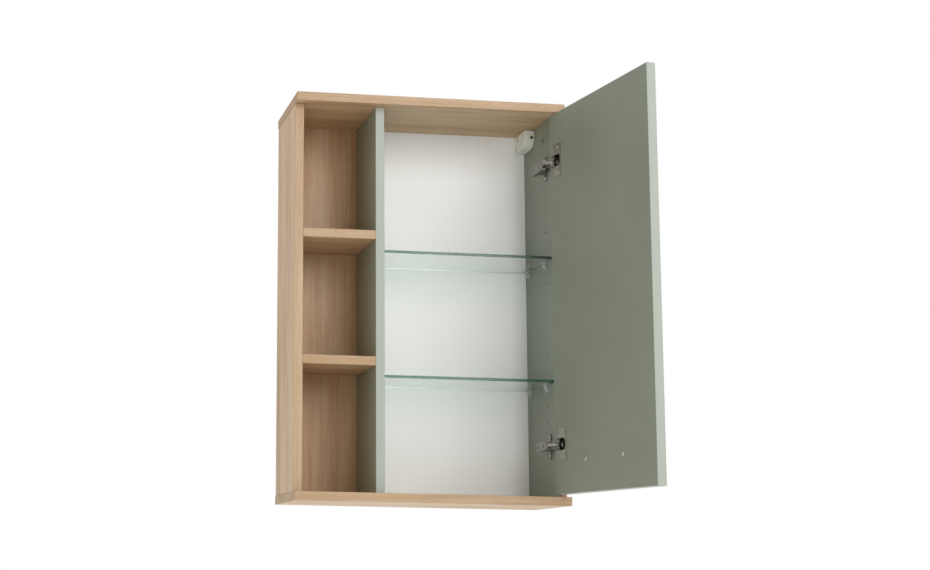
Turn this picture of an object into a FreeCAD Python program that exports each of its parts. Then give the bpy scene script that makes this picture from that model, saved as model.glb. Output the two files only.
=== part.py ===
import FreeCAD, Part
import math
import os
import re
import Sketcher
from FreeCAD import Placement, Rotation, Vector

# Wall-hung bathroom cabinet: an open niche with two shelves at the left, and a compartment with two glass
# shelves behind a mirror door at the right. Millimetres. X runs to the right, Y into the wall, Z up. The
# origin is on the wall side of the top panel, at its middle. The door stands open, as it rests.

DRIVING = {
    "overall_width": 500, "overall_height": 736, "overall_depth": 205, "board": 16,
    "front_overhang": 24, "side_inset": 1, "niche_clear": 133, "edge_round": 0.8,
    "groove": 5, "wall_space": 17, "oak_back": 8, "white_back": 3, "back_play": 1,
    "upper_shelf_top": 490, "lower_shelf_top": 260, "shelf_row_front": 40, "shelf_row_rear": 124,
    "upper_glass_top": 456.5, "lower_glass_top": 228.5, "glass_thick": 5, "glass_setback": 10,
    "glass_play": 1, "glass_chamfer": 0.4,
    "pin_row_front": 46, "pin_row_rear": 142, "pin_radius": 2.5, "pin_drop": 7, "pin_pitch": 32,
    "pin_hole": 9, "pin_length": 8, "rest_width": 12, "rest_reach": 9, "rest_drop": 14, "rest_wall": 2.5,
    "dowel_radius": 4, "dowel_length": 30, "dowel_in_panel": 10, "shelf_dowel_in": 8,
    "dowel_row_front": 24, "dowel_row_rear": 152,
    "cam_radius": 7.5, "cam_depth": 12.5, "cam_from_end": 34, "cam_row_front": 52, "cam_row_rear": 118,
    "bolt_radius": 2.5, "bolt_in_panel": 11, "bolt_clear": 3.5, "bolt_head_radius": 3.2, "bolt_head": 2.5,
    "door_width": 347, "door_gap_low": 4, "door_gap_high": 3, "rest_opening": 98,
    "tape_thick": 1, "tape_width": 19, "mirror_thick": 4, "mirror_margin": 10, "mirror_strip": 116,
    "mirror_bevel": 0.6, "handle_centres": 128, "handle_radius": 5, "handle_reach": 30,
    "handle_bend": 12, "handle_screw": 2, "handle_hole": 2.2,
    "hinge_from_end": 109, "cup_radius": 17.5, "cup_edge": 5, "cup_depth": 13, "cup_wall": 0.5,
    "cup_half_slot": 10.6, "relief_half": 8.6, "relief_from": 12, "relief_depth": 4,
    "flange_thick": 1, "flange_radius": 19.5, "ear_offset": 6, "ear_half": 24, "ear_width": 26,
    "cup_screw_radius": 1.75, "cup_screw_length": 12,
    "outer_pivot_x": 12.1, "outer_pivot_y": 0.4, "outer_link_reach": 18.45, "outer_link_rest": 61.3,
    "outer_seat_in": 9, "outer_seat_deep": 2.5, "inner_pivot_x": 19.2, "inner_pivot_y": 7.2,
    "inner_seat_in": 9.75, "inner_seat_deep": 9.5, "hinge_pin": 0.95, "hinge_running": 0.05,
    "link_half": 0.8, "eye_radius": 1.8, "inner_link_half": 2.2, "cheek_low": 2.6, "cheek_high": 3.8,
    "outer_link_low": 4.2, "outer_link_high": 5.4, "bridge_half": 7.8, "cup_pin_end": 9.8, "cheek_eye": 2.2,
    "arm_front": 7, "arm_nose": 2.5, "arm_rear": 62, "arm_back": 18.5, "arm_sheet": 1.5, "arm_foot": 9,
    "arm_half": 8.2, "rib_radius": 0.8,
    "plate_line": 37, "plate_half_pitch": 16, "plate_thick": 2, "plate_rear": 58,
    "euro_radius": 2.5, "euro_length": 11,
    "hanger_wide": 19, "hanger_deep": 61, "hanger_tall": 32, "hanger_round": 20, "hanger_eye": 2.6,
    "hook_sheet": 2, "hook_tall": 18, "hanger_base": 4, "hanger_screw_front": 10, "hanger_screw_rear": 42,
    "hanger_screw_drop": 9, "hanger_screw": 1.75, "hanger_screw_length": 13,
}

doc = FreeCAD.newDocument("MirrorCabinet")
sheet = doc.addObject("Spreadsheet::Sheet", "Sizes")
for row, (alias, number) in enumerate(DRIVING.items(), start=1):
    sheet.set(f"A{row}", alias)
    sheet.set(f"B{row}", str(number))
    sheet.setAlias(f"B{row}", alias)
doc.recompute()


def size(alias):
    return float(sheet.get(alias))


def of(text):
    """A formula in the sheet's words, as an expression that refers to the sheet."""
    return re.sub("[a-z_]+", lambda word: "Sizes." + word[0] if word[0] in DRIVING else word[0], text)


def put(piece, x, y, z):
    """Places a piece by formulas in the sheet's words."""
    for axis, text in (("x", x), ("y", y), ("z", z)):
        piece.setExpression("Placement.Base." + axis, of(text))


# ---- sketches and bodies -------------------------------------------------------------------------------


def new_sketch(body, role="XY_Plane", offset="0"):
    sketch = body.newObject("Sketcher::SketchObject", body.Name + "_sketch")
    plane = next(feature for feature in body.Origin.OriginFeatures if feature.Role == role)
    sketch.AttachmentSupport = [(plane, "")]
    sketch.MapMode = "FlatFace"
    sketch.setExpression("AttachmentOffset.Base.z", of(offset))
    return sketch


def bind(sketch, kind, refs, text, start):
    index = sketch.addConstraint(Sketcher.Constraint(kind, *refs, start))
    sketch.setExpression(f"Constraints[{index}]", of(text))


def locate(sketch, geometry, point, x, y, start):
    """Ties a point to the sketch's origin by formulas; "0" puts it on the axis itself."""
    for text, kind, axis, value in ((x, "DistanceX", -2, start[0]), (y, "DistanceY", -1, start[1])):
        if text == "0":
            sketch.addConstraint(Sketcher.Constraint("PointOnObject", geometry, point, axis))
        else:
            bind(sketch, kind, (-1, 1, geometry, point), text, value)


def draw_rectangle(sketch, x, y, dx, dy):
    first = sketch.GeometryCount
    corners = [Vector(5, 5), Vector(15, 5), Vector(15, 15), Vector(5, 15)]
    for k in range(4):
        sketch.addGeometry(Part.LineSegment(corners[k], corners[(k + 1) % 4]))
    for k in range(4):
        sketch.addConstraint(Sketcher.Constraint("Coincident", first + k, 2, first + (k + 1) % 4, 1))
        sketch.addConstraint(Sketcher.Constraint(("Horizontal", "Vertical")[k % 2], first + k))
    bind(sketch, "DistanceX", (first, 1, first, 2), dx, 10.0)
    bind(sketch, "DistanceY", (first + 1, 1, first + 1, 2), dy, 10.0)
    locate(sketch, first, 1, x, y, (5.0, 5.0))


def draw_circle(sketch, x, y, radius):
    index = sketch.addGeometry(Part.Circle(Vector(5, 5), Vector(0, 0, 1), 2))
    bind(sketch, "Radius", (index,), radius, 2.0)
    locate(sketch, index, 3, x, y, (5.0, 5.0))


def pad(body, sketch, length, down=False):
    feature = body.newObject("PartDesign::Pad", body.Name + "_pad")
    feature.Profile = sketch
    feature.Reversed = down
    feature.setExpression("Length", of(length))
    return feature


def pocket(body, sketch, depth, forward):
    """Cuts along the sketch's normal when forward is true, and against it otherwise."""
    feature = body.newObject("PartDesign::Pocket", body.Name + "_pocket")
    feature.Profile = sketch
    feature.Reversed = forward
    feature.setExpression("Length", of(depth))
    return feature


def board(label, dx, dy, dz, finish="Fillet", finish_size="edge_round"):
    """A flat panel from its low corner, with its edges eased."""
    body = doc.addObject("PartDesign::Body", label)
    sketch = new_sketch(body)
    draw_rectangle(sketch, "0", "0", dx, dy)
    blank = pad(body, sketch, dz)
    if finish:
        doc.recompute()
        eased = body.newObject("PartDesign::" + finish, body.Name + "_edges")
        eased.Base = (blank, [f"Edge{k + 1}" for k in range(len(blank.Shape.Edges))])
        eased.setExpression("Radius" if finish == "Fillet" else "Size", of(finish_size))
    return body


def cut_boxes(body, z, depth, rectangles):
    """Box-shaped cuts that start at height z and run up."""
    sketch = new_sketch(body, "XY_Plane", z)
    for rectangle in rectangles:
        draw_rectangle(sketch, *rectangle)
    pocket(body, sketch, depth, True)


def drill(body, role, offset, depth, forward, circles):
    """Round holes, all of one depth, from one plane."""
    sketch = new_sketch(body, role, offset)
    for circle in circles:
        draw_circle(sketch, *circle)
    pocket(body, sketch, depth, forward)


def group(label, solids):
    """Pieces of one kind, or a piece made of sheet and turned parts, as one node."""
    piece = doc.addObject("Part::Feature", label)
    piece.Shape = solids[0] if len(solids) == 1 else Part.makeCompound(solids)
    return piece


# ---- carcass -------------------------------------------------------------------------------------------

INNER_HEIGHT = "overall_height - 2 * board"
CARCASS_DEPTH = "overall_depth - front_overhang"
LEFT_X = "side_inset"
DIVIDER_X = "side_inset + board + niche_clear"
RIGHT_X = "overall_width - side_inset - board"
COMPARTMENT = "overall_width - 2 * side_inset - 3 * board - niche_clear"
BOTTOM_Z = "board / 2 - overall_height"
BACK_Y = "overall_depth - wall_space"
UPRIGHT_BACK_Y = "overall_depth - wall_space - front_overhang"
DOWEL_ROWS = ("dowel_row_front", "dowel_row_rear")
CAM_ROWS = ("cam_row_front", "cam_row_rear")

for label, inner_z, groove_z, drill_up, base_z in (
    ("top_panel", "0", "0", True, "-board / 2"),
    ("bottom_panel", "board", "board - groove", False, BOTTOM_Z),
):
    panel = board(label, "overall_width", "overall_depth", "board")
    cut_boxes(panel, groove_z, "groove", [
        (LEFT_X + " + board - groove", BACK_Y, "niche_clear + 2 * groove", "oak_back"),
        (DIVIDER_X + " + board - groove", BACK_Y, COMPARTMENT + " + 2 * groove", "white_back"),
    ])
    for rows, radius, depth in (
        (DOWEL_ROWS, "dowel_radius", "dowel_in_panel"),
        (CAM_ROWS, "bolt_radius", "bolt_in_panel"),
    ):
        drill(panel, "XY_Plane", inner_z, depth, drill_up, [
            (x + " + board / 2", "front_overhang + " + row, radius)
            for x in (LEFT_X, DIVIDER_X, RIGHT_X) for row in rows
        ])
    put(panel, "-overall_width / 2", "-overall_depth", base_z)

PIN_LEVELS = [
    (top + " - glass_thick - pin_drop - board", step)
    for top in ("upper_glass_top", "lower_glass_top") for step in (-2, -1, 0, 1, 2)
]
PIN_HOLES = [
    (row, f"{level} + {step} * pin_pitch", "pin_radius")
    for level, step in PIN_LEVELS for row in ("pin_row_front", "pin_row_rear")
]
SHELF_DOWELS = [
    (row, top + " - 1.5 * board", "dowel_radius")
    for top in ("upper_shelf_top", "lower_shelf_top") for row in ("shelf_row_front", "shelf_row_rear")
]
CAM_HOLES = [
    (row, level, "cam_radius")
    for row in CAM_ROWS for level in ("cam_from_end", INNER_HEIGHT + " - cam_from_end")
]
LOW_HINGE = "hinge_from_end - board"
HIGH_HINGE = "overall_height - hinge_from_end - board"
PLATE_HOLES = [
    ("plate_line", f"{level} {sign} plate_half_pitch", "euro_radius")
    for level in (LOW_HINGE, HIGH_HINGE) for sign in "+-"
]
HANGER_HOLES = [
    (UPRIGHT_BACK_Y + " - hanger_deep + " + row, INNER_HEIGHT + " - hanger_screw_drop", "hanger_screw")
    for row in ("hanger_screw_front", "hanger_screw_rear")
]
HANGER_DRILLED = "hanger_screw_length - hanger_base"

# Each upright: its place, the face that carries the cams, and what else is drilled or cut in it.
UPRIGHTS = {
    "left_side_panel": (LEFT_X, "far", [("far", "shelf_dowel_in", SHELF_DOWELS)], [("far", "oak_back")]),
    "divider_panel": (
        DIVIDER_X, "far",
        [("near", "shelf_dowel_in", SHELF_DOWELS), ("far", "pin_hole", PIN_HOLES),
         ("far", HANGER_DRILLED, HANGER_HOLES)],
        [("near", "oak_back"), ("far", "white_back")],
    ),
    "right_side_panel": (
        RIGHT_X, "near",
        [("near", "pin_hole", PIN_HOLES), ("near", "euro_length", PLATE_HOLES),
         ("near", HANGER_DRILLED, HANGER_HOLES)],
        [("near", "white_back")],
    ),
}
for label, (x, cam_face, drilled, grooves) in UPRIGHTS.items():
    panel = board(label, "board", CARCASS_DEPTH, INNER_HEIGHT)
    cut_boxes(panel, "0", INNER_HEIGHT, [
        ("0" if face == "near" else "board - groove", UPRIGHT_BACK_Y, "groove", thick)
        for face, thick in grooves
    ])
    for rows, radius, depth in (
        (DOWEL_ROWS, "dowel_radius", "dowel_length - dowel_in_panel"),
        (CAM_ROWS, "bolt_clear", "cam_from_end"),
    ):
        for end, forward in (("0", True), (INNER_HEIGHT, False)):
            drill(panel, "XY_Plane", end, depth, forward, [("board / 2", row, radius) for row in rows])
    for face, depth, circles in [(cam_face, "cam_depth", CAM_HOLES)] + drilled:
        offset = "0" if face == "near" else "board"
        drill(panel, "YZ_Plane", offset, depth, face == "near", circles)
    put(panel, "-overall_width / 2 + " + x, "-overall_depth + front_overhang", BOTTOM_Z + " + board")

for label, top in (("open_shelf_upper", "upper_shelf_top"), ("open_shelf_lower", "lower_shelf_top")):
    shelf = board(label, "niche_clear", UPRIGHT_BACK_Y, "board")
    dowel_ends = [(row, "board / 2", "dowel_radius") for row in ("shelf_row_front", "shelf_row_rear")]
    drill(shelf, "YZ_Plane", "0", "dowel_length - shelf_dowel_in", True, dowel_ends)
    drill(shelf, "YZ_Plane", "niche_clear", "dowel_length - shelf_dowel_in", False, dowel_ends)
    put(shelf, "-overall_width / 2 + side_inset + board", "-overall_depth + front_overhang",
        f"{BOTTOM_Z} + {top} - board")

HOOK_LEVEL = INNER_HEIGHT + " + groove - back_play / 2 - 12 - hook_tall"
for label, x, clear, thick in (
    ("back_panel_oak", LEFT_X, "niche_clear", "oak_back"),
    ("back_panel_white", DIVIDER_X, COMPARTMENT, "white_back"),
):
    back = board(label, clear + " + 2 * groove - back_play", thick, INNER_HEIGHT + " + 2 * groove - back_play",
                 None)
    if label == "back_panel_white":
        edge = "groove - back_play / 2 + hanger_wide / 2 - hook_sheet"
        cut_boxes(back, HOOK_LEVEL, "hook_tall + 4", [
            (edge, "0", "2 * hook_sheet", thick),
            (f"{clear} + 2 * groove - back_play - ({edge}) - 2 * hook_sheet", "0", "2 * hook_sheet", thick),
        ])
    put(back, f"-overall_width / 2 + {x} + board - groove + back_play / 2", "-wall_space",
        BOTTOM_Z + " + board - groove + back_play / 2")

for label, top in (("glass_shelf_upper", "upper_glass_top"), ("glass_shelf_lower", "lower_glass_top")):
    glass = board(label, COMPARTMENT + " - 2 * glass_play", UPRIGHT_BACK_Y + " - glass_setback - 2",
                  "glass_thick", "Chamfer", "glass_chamfer")
    put(glass, f"-overall_width / 2 + {DIVIDER_X} + board + glass_play",
        "-overall_depth + front_overhang + glass_setback", f"{BOTTOM_Z} + {top} - glass_thick")

# ---- numbers that the small parts share ------------------------------------------------------------------

FRONT_Y = size("front_overhang") - size("overall_depth")
BACK_FACE_Y = -size("wall_space")
FLOOR_Z = 1.5 * size("board") - size("overall_height")
CEILING_Z = -size("board") / 2
NICHE_LEFT = -size("overall_width") / 2 + size("side_inset") + size("board")
DIVIDER_LEFT = NICHE_LEFT + size("niche_clear")
ROOM_LEFT = DIVIDER_LEFT + size("board")
ROOM_RIGHT = size("overall_width") / 2 - size("side_inset") - size("board")
UPRIGHT_CENTRES = [x + size("board") / 2 for x in (NICHE_LEFT - size("board"), DIVIDER_LEFT, ROOM_RIGHT)]
ALONG = {"x": Vector(1, 0, 0), "y": Vector(0, 1, 0), "z": Vector(0, 0, 1)}


def rod(x, y, z, radius, length, axis):
    """A cylinder from a point along an axis; a negative length runs back."""
    direction = ALONG[axis] * math.copysign(1, length)
    return Part.makeCylinder(radius, abs(length), Vector(x, y, z), direction)


def block(x, y, z, dx, dy, dz):
    return Part.makeBox(dx, dy, dz, Vector(x, y, z))


def moved(shape, vector, turn=0):
    """A copy turned about the vertical through its own origin, then shifted."""
    copy = shape.copy()
    copy.Placement = Placement(vector, Rotation(ALONG["z"], turn))
    return copy


def screw(radius, length, head_radius, head, pan=False):
    """A screw with its head's top at the origin and its shank up the Z axis, with a cross recess."""
    if pan:
        top = rod(0, 0, 0, head_radius, head, "z")
        edges = [edge for edge in top.Edges if edge.BoundBox.ZMax < head / 2]
        top = top.makeFillet(head * 0.6, edges)
    else:
        top = Part.makeCone(head_radius, radius, head)
    body = top.fuse(rod(0, 0, head, radius, length - head - radius, "z"))
    body = body.fuse(Part.makeCone(radius, 0.3 * radius, radius, Vector(0, 0, length - radius)))
    arm, deep = head_radius * 1.1, head * 0.55
    for dx, dy in ((arm, arm * 0.22), (arm * 0.22, arm)):
        body = body.cut(block(-dx / 2, -dy / 2, 0, dx, dy, deep))
    return body.removeSplitter()


def aimed(shape, x, y, z, direction):
    """A copy whose Z axis points along a direction, at a place."""
    copy = shape.copy()
    copy.Placement = Placement(Vector(x, y, z), Rotation(ALONG["z"], direction))
    return copy


# ---- joinery -------------------------------------------------------------------------------------------

ENDS = ((FLOOR_Z, 1), (CEILING_Z, -1))
carcass_dowels = []
cam_bolts = []
cam_locks = []
for x in UPRIGHT_CENTRES:
    cam_turn = 1 if x < ROOM_LEFT else -1
    for end_z, into in ENDS:
        for row in DOWEL_ROWS:
            start = end_z - into * (size("dowel_in_panel") - 0.5)
            reach = into * (size("dowel_length") - 1)
            carcass_dowels.append(rod(x, FRONT_Y + size(row), start, size("dowel_radius"), reach, "z"))
        for row in CAM_ROWS:
            y = FRONT_Y + size(row)
            reach = size("bolt_in_panel") + size("cam_from_end") - size("bolt_head")
            start = end_z - into * size("bolt_in_panel")
            bolt = rod(x, y, start, size("bolt_radius"), into * reach, "z")
            head = rod(x, y, start + into * reach, size("bolt_head_radius"), into * size("bolt_head"), "z")
            cam_bolts.append(bolt.fuse(head).removeSplitter())
            face_x = x + cam_turn * size("board") / 2
            cam_z = end_z + into * size("cam_from_end")
            cam = rod(face_x, y, cam_z, size("cam_radius"), -cam_turn * size("cam_depth"), "x")
            slot_low = min(cam_z + into * 4, cam_z - into * 8)
            cam = cam.cut(block(x - 3.8, y - 3.8, slot_low, 7.6, 7.6, 12))
            for dy, dz in ((9, 1.6), (1.6, 9)):
                recess_x = face_x - 1.5 if cam_turn > 0 else face_x
                cam = cam.cut(block(recess_x, y - dy / 2, cam_z - dz / 2, 1.5, dy, dz))
            cam_locks.append(cam)
group("carcass_dowels", carcass_dowels)
group("cam_bolts", cam_bolts)
group("cam_locks", cam_locks)

open_shelf_dowels = []
for top in ("upper_shelf_top", "lower_shelf_top"):
    z = FLOOR_Z + size(top) - 1.5 * size("board")
    for row in ("shelf_row_front", "shelf_row_rear"):
        for wall, into in ((NICHE_LEFT, 1), (DIVIDER_LEFT, -1)):
            start = wall - into * (size("shelf_dowel_in") - 0.5)
            reach = into * (size("dowel_length") - 1)
            open_shelf_dowels.append(rod(start, FRONT_Y + size(row), z, size("dowel_radius"), reach, "x"))
group("open_shelf_dowels", open_shelf_dowels)

# ---- supports of the glass shelves -------------------------------------------------------------------------

wall, reach, width, drop = (size(a) for a in ("rest_wall", "rest_reach", "rest_width", "rest_drop"))
side_view = Part.makePolygon([
    Vector(0, 0, 0), Vector(reach, 0, 0), Vector(reach, 0, -2), Vector(wall, 0, -drop), Vector(0, 0, -drop),
    Vector(0, 0, 0),
])
support = Part.Face(side_view).extrude(Vector(0, width, 0))
for y in (-1, width - 3):
    support = support.cut(block(wall, y, -drop, reach, 4, drop - 2))
support.translate(Vector(0, -width / 2, 0))
support = support.fuse(rod(0, 0, -size("pin_drop"), size("pin_radius"), -size("pin_length"), "x"))
support = support.removeSplitter()
for label, top in (("shelf_supports_upper", "upper_glass_top"), ("shelf_supports_lower", "lower_glass_top")):
    z = FLOOR_Z - size("board") + size(top) - size("glass_thick")
    group(label, [
        moved(support, Vector(x, FRONT_Y + size(row), z), turn)
        for x, turn in ((ROOM_LEFT, 0), (ROOM_RIGHT, 180)) for row in ("pin_row_front", "pin_row_rear")
    ])

# ---- door ----------------------------------------------------------------------------------------------

DOOR_HEIGHT = INNER_HEIGHT + " - door_gap_low - door_gap_high"
DOOR_LOW_HINGE = LOW_HINGE + " - door_gap_low"
DOOR_HIGH_HINGE = HIGH_HINGE + " - door_gap_low"
DOOR_TURN = 180 + size("rest_opening")

# The door stands where the outer links carry it: their far pins sit at fixed places in the cups.
door_along = Rotation(ALONG["z"], DOOR_TURN).multVec(ALONG["x"])
door_out = Rotation(ALONG["z"], DOOR_TURN).multVec(ALONG["y"])
outer_pivot = Vector(ROOM_RIGHT - size("outer_pivot_x"), FRONT_Y - size("outer_pivot_y"), 0)
inner_pivot = Vector(ROOM_RIGHT - size("inner_pivot_x"), FRONT_Y - size("inner_pivot_y"), 0)
link_angle = math.radians(size("outer_link_rest"))
outer_seat = outer_pivot + Vector(math.cos(link_angle), -math.sin(link_angle), 0) * size("outer_link_reach")
door_corner = outer_seat - door_along * size("outer_seat_in") - door_out * size("outer_seat_deep")
door_place = Placement(
    door_corner + Vector(0, 0, FLOOR_Z + size("door_gap_low")), Rotation(ALONG["z"], DOOR_TURN))
inner_seat = door_corner + door_along * size("inner_seat_in") + door_out * size("inner_seat_deep")


def on_door(piece, x=0, y=0, z=0, turn=None):
    """Places a piece in the door's own frame: X from the hinge edge, Y outwards, Z up."""
    piece.Placement = door_place * Placement(Vector(x, y, z), turn or Rotation())


door = board("door_board", "door_width", "board", DOOR_HEIGHT)
CUP_X = "cup_edge + cup_radius"
drill(door, "XZ_Plane", "0", "cup_depth", False, [
    (CUP_X, level, "cup_radius") for level in (DOOR_LOW_HINGE, DOOR_HIGH_HINGE)])
drill(door, "XZ_Plane", "0", "cup_screw_length", False, [
    (CUP_X + " + ear_offset", f"{level} {sign} ear_half", "cup_screw_radius")
    for level in (DOOR_LOW_HINGE, DOOR_HIGH_HINGE) for sign in "+-"])
drill(door, "XZ_Plane", "0", "board", False, [
    (f"door_width / 2 {sign} handle_centres / 2", "mirror_strip / 2", "handle_hole") for sign in "+-"])
on_door(door)

door_height = size("overall_height") - 2 * size("board") - size("door_gap_low") - size("door_gap_high")
mirror = board("mirror_glass", "door_width - 2 * mirror_margin", "mirror_thick",
               DOOR_HEIGHT + " - mirror_strip - mirror_margin", "Chamfer", "mirror_bevel")
on_door(mirror, size("mirror_margin"), size("board") + size("tape_thick"), size("mirror_strip"))

tape_height = door_height - size("mirror_strip") - size("mirror_margin") - 60
pads = group("mirror_tape_pads", [
    block(size("door_width") * share - size("tape_width") / 2, size("board"), size("mirror_strip") + 30,
          size("tape_width"), size("tape_thick"), tape_height)
    for share in (0.15, 0.5, 0.85)
])
on_door(pads)

handle_left = (size("door_width") - size("handle_centres")) / 2
handle_right = handle_left + size("handle_centres")
bend, base_y, bar_y = size("handle_bend"), size("board"), size("board") + size("handle_reach")
corner = bend * (1 - math.sqrt(0.5))
bow = Part.Wire([
    Part.LineSegment(Vector(handle_left, base_y, 0), Vector(handle_left, bar_y - bend, 0)).toShape(),
    Part.Arc(Vector(handle_left, bar_y - bend, 0), Vector(handle_left + corner, bar_y - corner, 0),
             Vector(handle_left + bend, bar_y, 0)).toShape(),
    Part.LineSegment(Vector(handle_left + bend, bar_y, 0), Vector(handle_right - bend, bar_y, 0)).toShape(),
    Part.Arc(Vector(handle_right - bend, bar_y, 0), Vector(handle_right - corner, bar_y - corner, 0),
             Vector(handle_right, bar_y - bend, 0)).toShape(),
    Part.LineSegment(Vector(handle_right, bar_y - bend, 0), Vector(handle_right, base_y, 0)).toShape(),
])
rim = Part.Wire([Part.Circle(Vector(handle_left, base_y, 0), ALONG["y"], size("handle_radius")).toShape()])
bar = bow.makePipeShell([rim], True, True)
for x in (handle_left, handle_right):
    bar = bar.cut(rod(x, base_y, 0, size("handle_screw"), 13, "y"))
handle = group("door_handle", [bar])
on_door(handle, z=size("mirror_strip") / 2)

handle_screw = screw(size("handle_screw"), 28, 4.2, 2.4, pan=True)
handle_screws = group("handle_screws", [
    aimed(handle_screw, x, -2.4, size("mirror_strip") / 2, ALONG["y"]) for x in (handle_left, handle_right)])
on_door(handle_screws)

# ---- hinges ----------------------------------------------------------------------------------------------


def strap(points, half, eye, low, high):
    """A bent strip of sheet seen edge on, with an eye at its first and last point."""
    shapes = []
    for k, point in enumerate(points):
        radius = eye if k in (0, len(points) - 1) else half
        shapes.append(rod(point.x, point.y, low, radius, high - low, "z"))
    for a, b in zip(points, points[1:]):
        along = (b - a).normalize()
        side = Vector(-along.y, along.x, 0) * half
        ring = [a + side, b + side, b - side, a - side, a + side]
        face = Part.Face(Part.makePolygon([Vector(p.x, p.y, low) for p in ring]))
        shapes.append(face.extrude(Vector(0, 0, high - low)))
    return shapes[0].multiFuse(shapes[1:]).removeSplitter()


def both_sides(shape):
    """The shape and its mirror image about the hinge's middle plane."""
    return [shape, shape.mirror(Vector(0, 0, 0), ALONG["z"])]


def bored(shape, points, radius):
    for point in points:
        shape = shape.cut(rod(point.x, point.y, -30, radius, 60, "z"))
    return shape


def door_point(inward, deep):
    return door_corner + door_along * inward + door_out * deep


running = size("hinge_pin") + size("hinge_running")
pin = size("hinge_pin")
half, eye = size("link_half"), size("eye_radius")

# The outer link: two plates outside the arm's cheeks, joined by a bridge half way along.
outer_knee = door_point(7.1, -2.6)
outer_low, outer_high = size("outer_link_low"), size("outer_link_high")
outer_plate = strap([outer_seat, outer_knee, outer_pivot], half, eye, outer_low, outer_high)
step = (outer_pivot - outer_knee) * 0.2
bridge_half = size("bridge_half")
bridge = strap([outer_knee + step * 1.5, outer_knee + step * 3.3], half, half, -bridge_half, bridge_half)
outer_shape = bridge.multiFuse(both_sides(outer_plate)).removeSplitter()
outer_shape = bored(outer_shape, [outer_seat, outer_pivot], running)

# The inner link: one narrow strap between the cheeks.
inner_half = size("inner_link_half")
inner_shape = strap([inner_seat, door_point(7.5, -1.8), inner_pivot], half, eye, -inner_half, inner_half)
inner_shape = bored(inner_shape, [inner_pivot], running)
inner_shape = bored(inner_shape, [inner_seat], pin)

# The arm: two cheeks that carry the fixed pivots, inside the front of a wider channel.
cheek_low, cheek_high, arm_half = size("cheek_low"), size("cheek_high"), size("arm_half")
sheet_thick, foot = size("arm_sheet"), size("arm_foot")
arm_back_x = ROOM_RIGHT - size("arm_back")
arm_front_y, arm_rear_y = FRONT_Y + size("arm_front"), FRONT_Y + size("arm_rear")
neck = Vector(arm_back_x + 4, arm_front_y + 4, 0)
cheek_ring = [inner_pivot, outer_pivot, neck, inner_pivot]
cheek = strap(cheek_ring, 1.9, size("cheek_eye"), cheek_low, cheek_high)
cheek_face = Part.Face(Part.makePolygon([Vector(p.x, p.y, cheek_low) for p in cheek_ring]))
cheek = cheek.fuse(cheek_face.extrude(Vector(0, 0, cheek_high - cheek_low)))
cheek = cheek.fuse(block(arm_back_x, arm_front_y, cheek_low, foot - 1, 12, cheek_high - cheek_low))
channel_y = FRONT_Y + size("arm_nose")
channel_length = arm_rear_y - channel_y
flank = block(arm_back_x, channel_y, arm_half - sheet_thick, foot, channel_length, sheet_thick)
web = block(arm_back_x, channel_y, -arm_half, sheet_thick, channel_length, 2 * arm_half)
ribs = [rod(arm_back_x, channel_y + 2, z, size("rib_radius"), 18, "y") for z in (-6.6, -4.4, 4.4, 6.6)]
arm_shape = web.multiFuse(both_sides(cheek) + both_sides(flank) + ribs).removeSplitter()
arm_shape = bored(arm_shape, [outer_pivot, inner_pivot], pin)
plate_y = FRONT_Y + size("plate_line")
ADJUSTERS = (plate_y - 14, plate_y + 14)
for y in ADJUSTERS:
    arm_shape = arm_shape.cut(rod(arm_back_x - 1, y, 0, 3, 4, "x"))

plate_thick = size("plate_thick")
wing = block(ROOM_RIGHT - plate_thick, plate_y - 7, -23, plate_thick, 14, 46)
wing = wing.makeFillet(5, [edge for edge in wing.Edges if edge.BoundBox.YLength < 1e-6
                           and edge.BoundBox.ZLength < 1e-6])
rail_front = plate_y - 16
rail_back_x = arm_back_x + sheet_thick + 0.3
rail_half = arm_half - sheet_thick - 0.3
rail = block(rail_back_x, rail_front, -rail_half, ROOM_RIGHT - rail_back_x,
             FRONT_Y + size("plate_rear") - rail_front, 2 * rail_half)
plate_shape = wing.fuse(rail).removeSplitter()
for sign in (1, -1):
    z = sign * size("plate_half_pitch")
    plate_shape = plate_shape.cut(rod(ROOM_RIGHT, plate_y, z, size("euro_radius"), -plate_thick, "x"))
for y in ADJUSTERS:
    plate_shape = plate_shape.cut(rod(rail_back_x, y, 0, 2, 7, "x"))

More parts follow.
